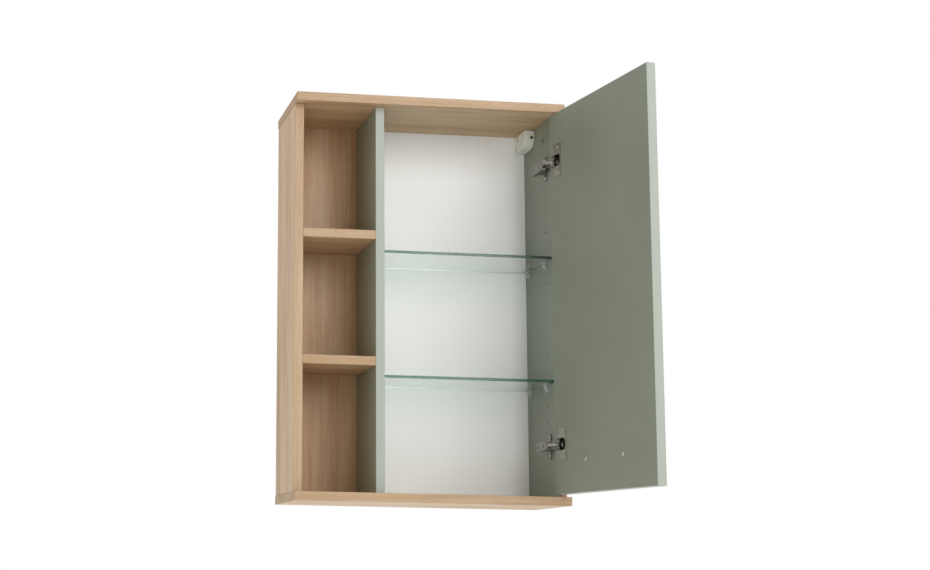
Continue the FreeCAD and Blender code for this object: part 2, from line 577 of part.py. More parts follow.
cup_screws = []
euro_screws = []
arm_screws = []
arm_pins = []
cup_pins = []
inner_pins = []
cup_head = 1.4
cup_screw = screw(size("cup_screw_radius"), size("cup_screw_length") + cup_head, 3.4, cup_head, pan=True)
euro_screw = screw(size("euro_radius"), size("euro_length") + plate_thick + 1.4, 4.2, 1.4, pan=True)
arm_screw = screw(1.9, 8, 2.9, 1.3)
for level, door_level, name in (
    (size("hinge_from_end"), size("hinge_from_end") - size("board") - size("door_gap_low"), "lower"),
    (size("overall_height") - size("hinge_from_end"),
     size("overall_height") - size("hinge_from_end") - size("board") - size("door_gap_low"), "upper"),
):
    centre = FLOOR_Z - size("board") + level
    lift = Vector(0, 0, centre)
    for label, shape in (
        ("hinge_outer_link", outer_shape), ("hinge_inner_link", inner_shape),
        ("hinge_arm", arm_shape), ("hinge_plate", plate_shape),
    ):
        piece = group(f"{label}_{name}", [shape])
        piece.Placement = Placement(lift, Rotation())
    for point, bag, reach in (
        (outer_pivot, arm_pins, outer_high + 0.4), (inner_pivot, arm_pins, cheek_high),
        (inner_seat, inner_pins, cheek_high),
    ):
        bag.append(rod(point.x, point.y, centre - reach, pin, 2 * reach, "z"))
    for sign in (1, -1):
        start, reach = outer_low - 0.2, size("cup_pin_end") - outer_low + 0.2
        cup_pins.append(rod(outer_seat.x, outer_seat.y, centre + sign * start, pin, sign * reach, "z"))
    for sign in (1, -1):
        euro_screws.append(aimed(
            euro_screw, ROOM_RIGHT - plate_thick - 1.4, plate_y, centre + sign * size("plate_half_pitch"),
            ALONG["x"]))
        cup_screws.append(aimed(
            cup_screw, size("cup_edge") + size("cup_radius") + size("ear_offset"),
            -size("flange_thick") - cup_head, door_level + sign * size("ear_half"), ALONG["y"]))
    for y in ADJUSTERS:
        arm_screws.append(aimed(arm_screw, rail_back_x - 1.3, y, centre, ALONG["x"]))

    # The cup's own frame: X away from the hinge edge, Z into the board.
    cup = doc.addObject("PartDesign::Body", f"hinge_cup_{name}")
    bowl = new_sketch(cup)
    draw_circle(bowl, "0", "0", "cup_radius")
    pad(cup, bowl, "cup_depth")
    collar = new_sketch(cup)
    draw_circle(collar, "0", "0", "flange_radius")
    pad(cup, collar, "flange_thick", down=True)
    ears = new_sketch(cup)
    index = ears.GeometryCount
    half_w, half_l, out = size("ear_width") / 2, size("ear_half") + 5.5, size("ear_offset")
    ring = [Vector(out - half_w, -half_l), Vector(out + half_w, -half_l), Vector(out + half_w, half_l),
            Vector(out - half_w, half_l)]
    for k in range(4):
        ears.addGeometry(Part.LineSegment(ring[k], ring[(k + 1) % 4]))
        ears.addConstraint(Sketcher.Constraint(("Horizontal", "Vertical")[k % 2], index + k))
    for k in range(4):
        ears.addConstraint(Sketcher.Constraint("Coincident", index + k, 2, index + (k + 1) % 4, 1))
    bind(ears, "DistanceX", (index, 1, index, 2), "ear_width", 2 * half_w)
    bind(ears, "DistanceY", (index + 1, 1, index + 1, 2), "2 * ear_half + 11", 2 * half_l)
    bind(ears, "DistanceX", (-1, 1, index, 2), "ear_offset + ear_width / 2", out + half_w)
    bind(ears, "DistanceY", (index, 2, -1, 1), "ear_half + 5.5", half_l)
    pad(cup, ears, "flange_thick", down=True)

    # The relief in the rim for the links, on the hinge side.
    relief = new_sketch(cup, "XY_Plane", "-flange_thick")
    draw_rectangle(
        relief, "-flange_radius - 1", "-relief_half", "flange_radius + 1 - relief_from", "2 * relief_half")
    pocket(cup, relief, "flange_thick + relief_depth", True)

    # The well between the cup's cheeks: two arcs and two straight sides.
    well = new_sketch(cup, "XY_Plane", "-flange_thick")
    well_radius, half = size("cup_radius") - size("cup_wall"), size("cup_half_slot")
    swing = math.asin(half / well_radius)
    chord = well_radius * math.cos(swing)
    for start, end in ((-swing, swing), (math.pi - swing, math.pi + swing)):
        well.addGeometry(Part.ArcOfCircle(Part.Circle(Vector(0, 0, 0), ALONG["z"], well_radius), start, end))
    well.addGeometry(Part.LineSegment(Vector(chord, half, 0), Vector(-chord, half, 0)))
    well.addGeometry(Part.LineSegment(Vector(-chord, -half, 0), Vector(chord, -half, 0)))
    for a, b in (((0, 2), (2, 1)), ((2, 2), (1, 1)), ((1, 2), (3, 1)), ((3, 2), (0, 1))):
        well.addConstraint(Sketcher.Constraint("Coincident", *a, *b))
    for k in (0, 1):
        well.addConstraint(Sketcher.Constraint("Coincident", k, 3, -1, 1))
        bind(well, "Radius", (k,), "cup_radius - cup_wall", well_radius)
    for k in (2, 3):
        well.addConstraint(Sketcher.Constraint("Horizontal", k))
    bind(well, "DistanceY", (-1, 1, 2, 1), "cup_half_slot", half)
    bind(well, "DistanceY", (3, 1, -1, 1), "cup_half_slot", half)
    pocket(cup, well, "cup_depth + flange_thick - 0.6", True)
    ear_holes = new_sketch(cup, "XY_Plane", "-flange_thick")
    for sign in (1, -1):
        index = ear_holes.addGeometry(
            Part.Circle(Vector(out, sign * size("ear_half"), 0), ALONG["z"], size("cup_screw_radius")))
        bind(ear_holes, "Radius", (index,), "cup_screw_radius", size("cup_screw_radius"))
        bind(ear_holes, "DistanceX", (-1, 1, index, 3), "ear_offset", out)
        refs = (-1, 1, index, 3) if sign > 0 else (index, 3, -1, 1)
        bind(ear_holes, "DistanceY", refs, "ear_half", size("ear_half"))
    pocket(cup, ear_holes, "flange_thick", True)
    on_door(cup, size("cup_edge") + size("cup_radius"), 0, door_level, Rotation(ALONG["x"], -90))

group("hinge_plate_screws", euro_screws)
group("hinge_arm_screws", arm_screws)
group("hinge_arm_pins", arm_pins)
group("hinge_cup_pins", cup_pins)
group("hinge_inner_link_pins", inner_pins)
on_door(group("hinge_cup_screws", cup_screws))

# ---- wall hangers ------------------------------------------------------------------------------------------

wide, deep, tall = size("hanger_wide"), size("hanger_deep"), size("hanger_tall")
hook_sheet, hook_tall = size("hook_sheet"), size("hook_tall")
hanger_y = BACK_FACE_Y - deep
hook_top = FLOOR_Z + size("overall_height") - 2 * size("board") - 12 + 2
hanger_screws = []
hanger_adjusters = []
base, head = size("hanger_base"), 2
fixing_screw = screw(size("hanger_screw"), size("hanger_screw_length"), 3.4, head, pan=True)
adjuster = screw(2.4, 9, 3.2, 2)
for name, wall_x, into in (("left", ROOM_LEFT, 1), ("right", ROOM_RIGHT, -1)):
    low_x = wall_x if into > 0 else wall_x - wide
    housing = block(low_x, hanger_y, CEILING_Z - 1 - tall, wide, deep, tall)
    nose = [edge for edge in housing.Edges
            if edge.BoundBox.YLength + edge.BoundBox.ZLength < 1e-6
            and edge.BoundBox.YMax < hanger_y + 1 and edge.BoundBox.ZMin < CEILING_Z - tall]
    housing = housing.makeFillet(size("hanger_round"), nose)
    cuts = [edge for edge in housing.Edges
            if edge.BoundBox.YLength + edge.BoundBox.ZLength < 1e-6
            and edge.BoundBox.YMin > BACK_FACE_Y - 1]
    housing = housing.makeChamfer(1.5, cuts)
    outer_x = low_x + wide if into > 0 else low_x
    rim_edges = [edge for edge in housing.Edges
                 if edge.BoundBox.XLength < 1e-6 and abs(edge.BoundBox.XMin - outer_x) < 1e-6]
    housing = housing.makeFillet(1.2, rim_edges)
    housing = housing.cut(rod(
        wall_x + into * 4.5, hanger_y, CEILING_Z - 14, size("hanger_eye"), 5, "y"))
    middle = low_x + wide / 2
    housing = housing.cut(block(middle - hook_sheet / 2 - 0.3, hanger_y + 8, hook_top - hook_tall - 1,
                                hook_sheet + 0.6, deep - 8, hook_tall + 2))
    shell_x = wall_x + into * wide
    for y, z in ((hanger_y + 22, hook_top - 4), (hanger_y + 48, CEILING_Z - tall + 5)):
        housing = housing.cut(rod(shell_x, y, z, 3.2, -into * (wide / 2 - hook_sheet / 2 - 0.3), "x"))
        hanger_adjusters.append(
            rod(shell_x - into * 2.2, y, z, 2.9, -into * (wide / 2 - hook_sheet / 2 - 2.7), "x").cut(
                block(shell_x - into * 2.2 - 1, y - 2.2, z - 0.5, 2, 4.4, 1)))
    for row in ("hanger_screw_front", "hanger_screw_rear"):
        y, z = hanger_y + size(row), CEILING_Z - size("hanger_screw_drop")
        housing = housing.cut(rod(shell_x, y, z, 3.6, -into * (wide - base), "x"))
        housing = housing.cut(rod(wall_x, y, z, size("hanger_screw"), into * base, "x"))
        hanger_screws.append(aimed(fixing_screw, wall_x + into * (base + head), y, z, ALONG["x"] * -into))
    group(f"hanger_housing_{name}", [housing])

    hook = Part.Face(Part.makePolygon([
        Vector(middle - hook_sheet / 2, y, z) for y, z in (
            (hanger_y + 14, hook_top), (-3, hook_top), (-3, hook_top - hook_tall),
            (-6, hook_top - hook_tall), (-9, hook_top - 9), (-9 - 3, hook_top - 9),
            (-9 - 3, hook_top - hook_tall), (hanger_y + 14, hook_top - hook_tall),
            (hanger_y + 14, hook_top))
    ])).extrude(Vector(hook_sheet, 0, 0))
    group(f"hanger_hook_{name}", [hook])
group("hanger_screws", hanger_screws)
group("hanger_adjusters", hanger_adjusters)

# ---- checks and files ----------------------------------------------------------------------------------------

doc.recompute()
for item in doc.Objects:
    if "Invalid" in item.State or "Error" in item.State:
        raise RuntimeError(f"{item.Name} failed: {item.State}")

nodes = [item for item in doc.Objects
         if item.TypeId in ("PartDesign::Body", "Part::Feature") and not item.getParentGeoFeatureGroup()]
for body in (item for item in nodes if item.TypeId == "PartDesign::Body"):
    before = None
    for feature in body.Group:
        if feature.TypeId == "PartDesign::Pocket" and feature.Shape.Volume > before - 1e-6:
            raise RuntimeError(f"{feature.Name} cuts nothing")
        if feature.TypeId.startswith("PartDesign::"):
            before = feature.Shape.Volume

os.makedirs("parts", exist_ok=True)
for node in nodes:
    if node.Shape.isNull() or not node.Shape.isValid():
        raise RuntimeError(f"{node.Label} has no valid shape")
    node.Shape.exportStep(os.path.join("parts", node.Label + ".step"))
print(len(nodes), "nodes")
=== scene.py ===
import math

import bmesh
import bpy
from mathutils import Matrix, Vector


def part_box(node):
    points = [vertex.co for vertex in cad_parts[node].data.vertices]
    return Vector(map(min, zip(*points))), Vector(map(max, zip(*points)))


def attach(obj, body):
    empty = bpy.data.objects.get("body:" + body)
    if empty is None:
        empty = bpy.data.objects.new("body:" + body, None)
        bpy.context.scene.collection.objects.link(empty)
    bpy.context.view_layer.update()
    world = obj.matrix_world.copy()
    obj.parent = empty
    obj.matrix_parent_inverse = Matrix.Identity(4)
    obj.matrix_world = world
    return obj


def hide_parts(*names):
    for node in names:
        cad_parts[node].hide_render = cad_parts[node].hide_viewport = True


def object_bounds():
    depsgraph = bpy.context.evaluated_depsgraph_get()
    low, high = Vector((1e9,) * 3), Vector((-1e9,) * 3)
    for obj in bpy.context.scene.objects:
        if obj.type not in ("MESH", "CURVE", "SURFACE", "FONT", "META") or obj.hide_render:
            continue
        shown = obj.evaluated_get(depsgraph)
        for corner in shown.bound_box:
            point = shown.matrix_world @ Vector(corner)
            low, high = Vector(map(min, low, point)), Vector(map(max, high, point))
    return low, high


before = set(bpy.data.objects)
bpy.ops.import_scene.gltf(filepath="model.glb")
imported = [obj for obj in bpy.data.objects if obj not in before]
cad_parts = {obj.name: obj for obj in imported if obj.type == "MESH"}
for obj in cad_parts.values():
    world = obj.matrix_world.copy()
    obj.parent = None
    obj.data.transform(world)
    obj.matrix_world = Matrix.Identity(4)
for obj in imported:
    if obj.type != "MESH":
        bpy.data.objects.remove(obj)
cad_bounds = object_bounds()

# ---- oak boards --------------------------------------------------------------------------------------
# The top, the bottom, the left side, the two open shelves and the niche's back are chipboard under a light
# oak film. The grain runs up the standing boards and across the lying ones. The edges carry a slightly
# darker strip, ironed on, and its joint with the film is a thin line.


def tint(red, green, blue):
    """A colour from 0 to 255 on a screen, as the light values that a shader takes."""
    def light(part):
        part = part / 255
        return part / 12.92 if part <= 0.04045 else ((part + 0.055) / 1.055) ** 2.4
    return (light(red), light(green), light(blue), 1.0)


def feed(tree, socket, value):
    """Puts a plain value or a link on an input."""
    if isinstance(value, bpy.types.NodeSocket):
        tree.links.new(value, socket)
    else:
        socket.default_value = value


def place_node(tree, kind, values=None, **settings):
    """A node of any kind of tree, with its settings and with a value on each input that is named."""
    node = tree.nodes.new(kind)
    for key, value in settings.items():
        setattr(node, key, value)
    for key, value in (values or {}).items():
        feed(tree, node.inputs[key], value)
    return node


def add(tree, kind, values=None, **settings):
    """A shader node, whose kind is written without its first word."""
    return place_node(tree, "ShaderNode" + kind, values, **settings)


def math_of(tree, operation, *parts):
    return add(tree, "Math", dict(enumerate(parts)), operation=operation).outputs[0]


def vector_of(tree, operation, first, second):
    return add(tree, "VectorMath", {0: first, 1: second}, operation=operation).outputs[0]


def spread(tree, value, low, high, to_low=0.0, to_high=1.0):
    """Turns a stretch of values into another, held at both ends."""
    node = add(tree, "MapRange", {"Value": value, "From Min": low, "From Max": high,
                                  "To Min": to_low, "To Max": to_high})
    return node.outputs["Result"]


def new_group(name, inputs, outputs):
    """An empty shader group with named sockets, and its two end nodes."""
    group = bpy.data.node_groups.new(name, "ShaderNodeTree")
    for label, kind, value in inputs:
        socket = group.interface.new_socket(label, in_out="INPUT", socket_type="NodeSocket" + kind)
        if value is not None:
            socket.default_value = value
    for label, kind in outputs:
        group.interface.new_socket(label, in_out="OUTPUT", socket_type="NodeSocket" + kind)
    return group, group.nodes.new("NodeGroupInput").outputs, group.nodes.new("NodeGroupOutput").inputs


def use(tree, group, **values):
    """Places a group in a material, with the inputs' names written with low lines for spaces."""
    node = tree.nodes.new("ShaderNodeGroup")
    node.node_tree = group
    for key, value in values.items():
        feed(tree, node.inputs[key.replace("_", " ")], value)
    return node.outputs


# Wood's figure, finer veins, fibres and pores, all drawn out along the vector's third axis. Only the peaks
# of the finest noise are pores.
PORE_FROM, PORE_TO = 0.60, 0.70

grain, given, made = new_group(
    "wood_grain",
    [("Vector", "Vector", None), ("Figure Width", "Float", 0.06), ("Vein Width", "Float", 0.014),
     ("Fibre Width", "Float", 0.0016)],
    [("Figure", "Float"), ("Vein", "Float"), ("Fibre", "Float"), ("Pore", "Float")],
)
for streak, width, drawn_out, detail in (
    ("Figure", given["Figure Width"], 0.10, 2.0), ("Vein", given["Vein Width"], 0.05, 3.0),
    ("Fibre", given["Fibre Width"], 0.016, 4.0), ("Pore", 0.0009, 0.05, 1.0),
):
    way = vector_of(grain, "MULTIPLY", given["Vector"], (1, 1, drawn_out))
    noise = add(grain, "TexNoise", {"Vector": way, "Scale": math_of(grain, "DIVIDE", 1.0, width),
                                    "Detail": detail, "Roughness": 0.6}).outputs["Fac"]
    grain.links.new(spread(grain, noise, PORE_FROM, PORE_TO) if streak == "Pore" else noise, made[streak])

# How far a point lies inside a board's box, on the sides that carry an edge strip.
STRIP_SOFTNESS = 0.0001
JOINT_HALF = 0.00025

edge_strip, given, made = new_group(
    "edge_strip",
    [("Vector", "Vector", None), ("Low", "Vector", None), ("High", "Vector", None),
     ("Strip", "Float", 0.001)],
    [("Mask", "Float"), ("Joint", "Float")],
)
from_low = vector_of(edge_strip, "SUBTRACT", given["Vector"], given["Low"])
from_high = vector_of(edge_strip, "SUBTRACT", given["High"], given["Vector"])
nearest = vector_of(edge_strip, "MINIMUM", from_low, from_high)
parts = add(edge_strip, "SeparateXYZ", {0: nearest}).outputs
inside = math_of(edge_strip, "MINIMUM", math_of(edge_strip, "MINIMUM", parts[0], parts[1]), parts[2])
past = math_of(edge_strip, "SUBTRACT", inside, given["Strip"])
off_joint = math_of(edge_strip, "ABSOLUTE", past)
edge_strip.links.new(spread(edge_strip, past, -STRIP_SOFTNESS, STRIP_SOFTNESS, 1.0, 0.0), made["Mask"])
edge_strip.links.new(spread(edge_strip, off_joint, 0.0, JOINT_HALF, 1.0, 0.0), made["Joint"])

# The soft marks that hands and cloths leave in any finish, and its finest specks.
SPECKS_PER_METRE = 1500.0

handling, given, made = new_group(
    "handling", [("Vector", "Vector", None), ("Patch Size", "Float", 0.12)],
    [("Smudge", "Float"), ("Speck", "Float")])
patches = add(handling, "TexNoise", {"Vector": given["Vector"], "Detail": 3.0, "Roughness": 0.6,
                                     "Scale": math_of(handling, "DIVIDE", 1.0, given["Patch Size"])})
specks = add(handling, "TexNoise", {"Vector": given["Vector"], "Scale": SPECKS_PER_METRE, "Detail": 2.0})
handling.links.new(patches.outputs["Fac"], made["Smudge"])
handling.links.new(specks.outputs["Fac"], made["Speck"])

STRIP = 0.0009
FAR = 9.0
UP_THE_BOARD = (0.0, 0.0, 0.0)
ACROSS_THE_BOARD = (0.0, math.radians(90), 0.0)
BOARD_SHIFT = (0.37, 0.11, 1.0)
OAK_DARK = tint(172, 139, 102)
OAK_MID = tint(198, 168, 130)
OAK_LIGHT = tint(214, 188, 153)
OAK_PORE = tint(128, 94, 60)
OAK_STRIP = tint(150, 118, 84)
OAK_PAINTED_SHADE = tint(165, 114, 64)
FIGURE_SHARE, VEIN_SHARE, FIBRE_SHARE, PORE_SHARE = 0.35, 0.30, 0.35, 0.28
STRIP_SHARE = 0.45
JOINT_SHARE = 0.45


def blend_colours(tree, factor, first, second, share=None):
    """Goes from the first colour to the second, or only a share of the way."""
    if share is not None:
        factor = math_of(tree, "MULTIPLY", factor, share)
    node = add(tree, "Mix", {0: factor, 6: first, 7: second}, data_type="RGBA")
    return node.outputs[2]


def ramp(tree, factor, stops):
    node = add(tree, "ValToRGB", {"Fac": factor})
    marks = node.color_ramp.elements
    marks[0].position, marks[0].color = stops[0]
    marks[1].position, marks[1].color = stops[-1]
    for place, colour in stops[1:-1]:
        marks.new(place).color = colour
    return node.outputs["Color"]


def oak_film(tree, point, way, seed):
    """Colour, roughness and height of the oak film, with its grain laid one way."""
    laid = add(tree, "Mapping", {"Vector": point, "Rotation": way,
                                 "Location": [step * seed for step in BOARD_SHIFT]}).outputs[0]
    wood = use(tree, grain, Vector=laid, Figure_Width=0.06, Vein_Width=0.013, Fibre_Width=0.0016)
    broad = math_of(tree, "ADD", math_of(tree, "MULTIPLY", wood["Figure"], FIGURE_SHARE),
                    math_of(tree, "MULTIPLY", wood["Vein"], VEIN_SHARE))
    mixed = math_of(tree, "ADD", broad, math_of(tree, "MULTIPLY", wood["Fibre"], FIBRE_SHARE))
    colour = ramp(tree, mixed, [(0.40, OAK_DARK), (0.50, OAK_MID), (0.60, OAK_LIGHT)])
    colour = blend_colours(tree, wood["Pore"], colour, OAK_PORE, PORE_SHARE)
    marks = use(tree, handling, Vector=point, Patch_Size=0.15)
    roughness = math_of(tree, "ADD", spread(tree, marks["Smudge"], 0.3, 0.7, 0.40, 0.50),
                        math_of(tree, "MULTIPLY", wood["Pore"], 0.1))
    height = math_of(tree, "SUBTRACT", math_of(tree, "MULTIPLY", wood["Fibre"], 0.5), wood["Pore"])
    return colour, roughness, height


def strip_box(low, high, bare):
    """A board's box with the axes whose ends carry no strip moved out of reach."""
    return ([-FAR if axis in bare else low[k] for k, axis in enumerate("xyz")],
            [FAR if axis in bare else high[k] for k, axis in enumerate("xyz")])


def new_material(name):
    """A material with one Principled shader, its tree, and the object's own coordinates."""
    material = bpy.data.materials.new(name)
    material.use_nodes = True
    tree = material.node_tree
    shader = tree.nodes["Principled BSDF"]
    return material, tree, shader, add(tree, "TexCoord").outputs["Object"]


def finish_with(tree, shader, colour, roughness, height=None, depth=0.0, strength=0.0):
    """Feeds a shader's colour and roughness, and its normal through a bump."""
    tree.links.new(colour, shader.inputs["Base Color"])
    tree.links.new(roughness, shader.inputs["Roughness"])
    if height is not None:
        bump = add(tree, "Bump", {"Height": height, "Distance": depth, "Strength": strength})
        tree.links.new(bump.outputs["Normal"], shader.inputs["Normal"])


def dress(node, material):
    """Gives a piece one material in all its slots."""
    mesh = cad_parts[node].data if isinstance(node, str) else node.data
    if not mesh.materials:
        mesh.materials.append(material)
    for index in range(len(mesh.materials)):
        mesh.materials[index] = material


# Each board: its grain, the axis whose faces carry no strip, and how far painted shade darkens its film.
# The niche's back and open shelves stand deep in shade and get the most, the top a little.
for seed, (node, way, bare, painted_shade_share) in enumerate((
    ("top_panel", ACROSS_THE_BOARD, "z", 0.1), ("bottom_panel", ACROSS_THE_BOARD, "z", 0.0),
    ("left_side_panel", UP_THE_BOARD, "x", 0.0), ("back_panel_oak", UP_THE_BOARD, "y", 0.42),
    ("open_shelf_upper", ACROSS_THE_BOARD, "z", 0.25), ("open_shelf_lower", ACROSS_THE_BOARD, "z", 0.25),
)):
    oak, tree, shader, point = new_material("oak_" + node)
    colour, roughness, height = oak_film(tree, point, way, seed + 1)
    low, high = strip_box(*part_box(node), bare)
    strip = use(tree, edge_strip, Vector=point, Low=low, High=high, Strip=STRIP)
    # Painted shade: the film darkened towards a deep brown, for the shade that the board stands in.
    colour = blend_colours(tree, painted_shade_share, colour, OAK_PAINTED_SHADE)
    colour = blend_colours(tree, strip["Mask"], colour, OAK_STRIP, STRIP_SHARE)
    colour = blend_colours(tree, strip["Joint"], colour, OAK_PORE, JOINT_SHARE)
    finish_with(tree, shader, colour, roughness, height, depth=0.00012, strength=0.35)
    dress(node, oak)

# ---- grey-green boards -------------------------------------------------------------------------------
# The divider and the door board are the same chipboard under a matt grey-green film. Their edge strips are
# a solid plastic tape in a paler cut of the colour, trimmed flush, and painted paler still as painted light
# for the light that the edges catch. The divider's film is painted lighter: painted light on a face in shade.

GREEN_FACE = tint(133, 139, 122)
GREEN_DEEP = tint(126, 132, 115)
GREEN_PAINTED_LIGHT = tint(150, 156, 136)
GREEN_STRIP_AND_PAINTED_LIGHT = tint(164, 170, 159)
OPENING = math.radians(98)
QUARTER_TURN = math.radians(90)


def green_film(tree, point):
    """Colour, roughness and height of the green film: faintly mottled, with an orange-peel skin."""
    marks = use(tree, handling, Vector=point, Patch_Size=0.2)
    colour = blend_colours(tree, spread(tree, marks["Smudge"], 0.35, 0.65), GREEN_DEEP, GREEN_FACE)
    roughness = spread(tree, marks["Smudge"], 0.3, 0.7, 0.44, 0.55)
    return colour, roughness, marks["Speck"]


door_low, door_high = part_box("door_board")
BOARD_THICK = 0.016
door_along = Vector((math.sin(OPENING - QUARTER_TURN), -math.cos(OPENING - QUARTER_TURN), 0))
door_out = Vector((-door_along.y, door_along.x, 0))
door_corner = Vector((door_low.x, door_high.y - BOARD_THICK * door_out.y, door_low.z))
door_width = (door_low.y - door_corner.y) / door_along.y
door_height = door_high.z - door_low.z
DOOR_TURN = math.atan2(door_along.y, door_along.x)


def in_door(tree, point):
    """The same point in the door's own frame: along it, out through it and up it."""
    return add(tree, "Mapping", {"Vector": point, "Location": door_corner, "Rotation": (0, 0, DOOR_TURN)},
               vector_type="TEXTURE").outputs[0]


# Each board, the box that its edge strips run round, and how far painted light lightens its film.
for node, low, high, painted_light_share in (
    ("divider_panel", *strip_box(*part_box("divider_panel"), "xz"), 0.6),
    ("door_board", (0, -FAR, 0), (door_width, FAR, door_height), 0.0),
):
    green, tree, shader, point = new_material("green_" + node)
    colour, roughness, height = green_film(tree, point)
    place = in_door(tree, point) if node == "door_board" else point
    strip = use(tree, edge_strip, Vector=place, Low=low, High=high, Strip=STRIP)
    # Painted light: the divider's film is lightened, for light on a face that stands in shade.
    colour = blend_colours(tree, painted_light_share, colour, GREEN_PAINTED_LIGHT)
    # A paler edge tape, painted paler still as painted light for the light that the edges catch.
    colour = blend_colours(tree, strip["Mask"], colour, GREEN_STRIP_AND_PAINTED_LIGHT)
    colour = blend_colours(tree, strip["Joint"], colour, GREEN_DEEP, 0.3)
    finish_with(tree, shader, colour, roughness, height, depth=0.00006, strength=0.25)
    dress(node, green)

# ---- right side --------------------------------------------------------------------------------------
# One chipboard panel with two films: oak on the outside, and grey-green on the inside. Its front edge carries
# the same oak strip as the other oak boards.

FILM_DEPTH = 0.0008
FILM_SOFTNESS = 0.0002

two_tone, tree, shader, point = new_material("oak_and_green_side")
oak_parts = oak_film(tree, point, UP_THE_BOARD, 9)
green_parts = green_film(tree, point)
side_low, side_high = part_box("right_side_panel")
across = add(tree, "SeparateXYZ", {0: point}).outputs
film_ends = side_low.x + FILM_DEPTH
outside = spread(tree, across[0], film_ends, film_ends + FILM_SOFTNESS)
strip_low, strip_high = strip_box(side_low, side_high, "xz")
strip = use(tree, edge_strip, Vector=point, Low=strip_low, High=strip_high, Strip=STRIP)
oak_share = math_of(tree, "MAXIMUM", outside, strip["Mask"])
colour = blend_colours(tree, oak_share, green_parts[0], oak_parts[0])
colour = blend_colours(tree, strip["Mask"], colour, OAK_STRIP, STRIP_SHARE)
colour = blend_colours(tree, strip["Joint"], colour, OAK_PORE, 0.4)
finish_with(tree, shader, colour, oak_parts[1], oak_parts[2], depth=0.0001, strength=0.3)
dress("right_side_panel", two_tone)

# ---- white back --------------------------------------------------------------------------------------
# The compartment's back is thin hardboard, white film in front and raw brown fibre behind, slid into
# grooves in the boards round it.

WHITE_FILM = tint(249, 249, 247)
WHITE_SHADE = tint(245, 246, 244)
FIBRE_DARK = tint(112, 80, 52)
FIBRE_LIGHT = tint(150, 113, 77)
WHITE_DEPTH = 0.0003

white, tree, shader, point = new_material("white_film_on_hardboard")
marks = use(tree, handling, Vector=point, Patch_Size=0.25)
film = blend_colours(tree, spread(tree, marks["Smudge"], 0.3, 0.7), WHITE_SHADE, WHITE_FILM)
fibres = add(tree, "TexNoise", {"Vector": point, "Scale": 420.0, "Detail": 5.0, "Roughness": 0.7})
raw = ramp(tree, fibres.outputs["Fac"], [(0.35, FIBRE_DARK), (0.65, FIBRE_LIGHT)])
back_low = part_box("back_panel_white")[0]
depth_in = add(tree, "SeparateXYZ", {0: point}).outputs[1]
white_ends = back_low.y + WHITE_DEPTH
behind = spread(tree, depth_in, white_ends, white_ends + FILM_SOFTNESS)
colour = blend_colours(tree, behind, film, raw)
roughness = spread(tree, behind, 0, 1, 0.45, 0.85)
finish_with(tree, shader, colour, roughness, fibres.outputs["Fac"], depth=0.0001, strength=0.12)
dress("back_panel_white", white)

# ---- glass shelves -----------------------------------------------------------------------------------
# Two loose shelves of clear float glass with ground and polished edges. Seen through its edge the glass is
# a deep blue-green, because the light has crossed the whole sheet.

GLASS_CLEAR = tint(246, 252, 250)
GLASS_EDGE = tint(84, 154, 130)
GLASS_IN_SHADOW = tint(238, 248, 245)
GLASS_RIM = 0.0005
GROUND_ROUGHNESS = 0.25

for node in ("glass_shelf_upper", "glass_shelf_lower"):
    glass, tree, shader, point = new_material("float_" + node)
    low, high = strip_box(*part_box(node), "z")
    rim = use(tree, edge_strip, Vector=point, Low=low, High=high, Strip=GLASS_RIM)
    marks = use(tree, handling, Vector=point, Patch_Size=0.1)
    colour = blend_colours(tree, rim["Mask"], GLASS_CLEAR, GLASS_EDGE)
    roughness = math_of(tree, "ADD", spread(tree, marks["Smudge"], 0.4, 0.8, 0.0, 0.03),
                        math_of(tree, "MULTIPLY", rim["Mask"], GROUND_ROUGHNESS))
    shader.inputs["Transmission Weight"].default_value = 1.0
    shader.inputs["IOR"].default_value = 1.5
    finish_with(tree, shader, colour, roughness)
    clear = add(tree, "BsdfTransparent", {"Color": GLASS_IN_SHADOW})
    shadow = add(tree, "LightPath").outputs["Is Shadow Ray"]
    both = add(tree, "MixShader", {0: shadow, 1: shader.outputs[0], 2: clear.outputs[0]})
    tree.links.new(both.outputs[0], tree.nodes["Material Output"].inputs["Surface"])
    dress(node, glass)

# ---- shelf supports ----------------------------------------------------------------------------------
# Clear moulded studs that push into the side holes. Each has a short peg, a flat seat for the glass and
# two webs below it, and looks milky where the plastic is thick.

stud, tree, shader, point = new_material("clear_moulding")
marks = use(tree, handling, Vector=point, Patch_Size=0.006)
milky = spread(tree, marks["Smudge"], 0.3, 0.7)
colour = blend_colours(tree, milky, tint(226, 232, 228), tint(244, 247, 245))
shader.inputs["Transmission Weight"].default_value = 0.6
shader.inputs["IOR"].default_value = 1.47
roughness = spread(tree, marks["Smudge"], 0.3, 0.7, 0.18, 0.34)
finish_with(tree, shader, colour, roughness, marks["Speck"], depth=0.0001, strength=0.2)
for node in ("shelf_supports_upper", "shelf_supports_lower"):
    dress(node, stud)

# ---- joinery -----------------------------------------------------------------------------------------
# Beech dowels place the boards and cam locks draw them together. A cam is die-cast zinc, sunk flush in the
# inner face, and grips a plated bolt that screws into the top or bottom board.

beech, tree, shader, point = new_material("beech_dowel")
marks = use(tree, handling, Vector=point, Patch_Size=0.004)
colour = blend_colours(tree, marks["Smudge"], tint(205, 170, 122), tint(224, 194, 150))
roughness = spread(tree, marks["Speck"], 0, 1, 0.5, 0.7)
finish_with(tree, shader, colour, roughness, marks["Speck"], depth=0.0001, strength=0.4)
for node in ("carcass_dowels", "open_shelf_dowels"):
    dress(node, beech)

# The fine parallel lines of a drawn, rolled or brushed metal surface.
CLOUDS_PER_METRE = 90.0

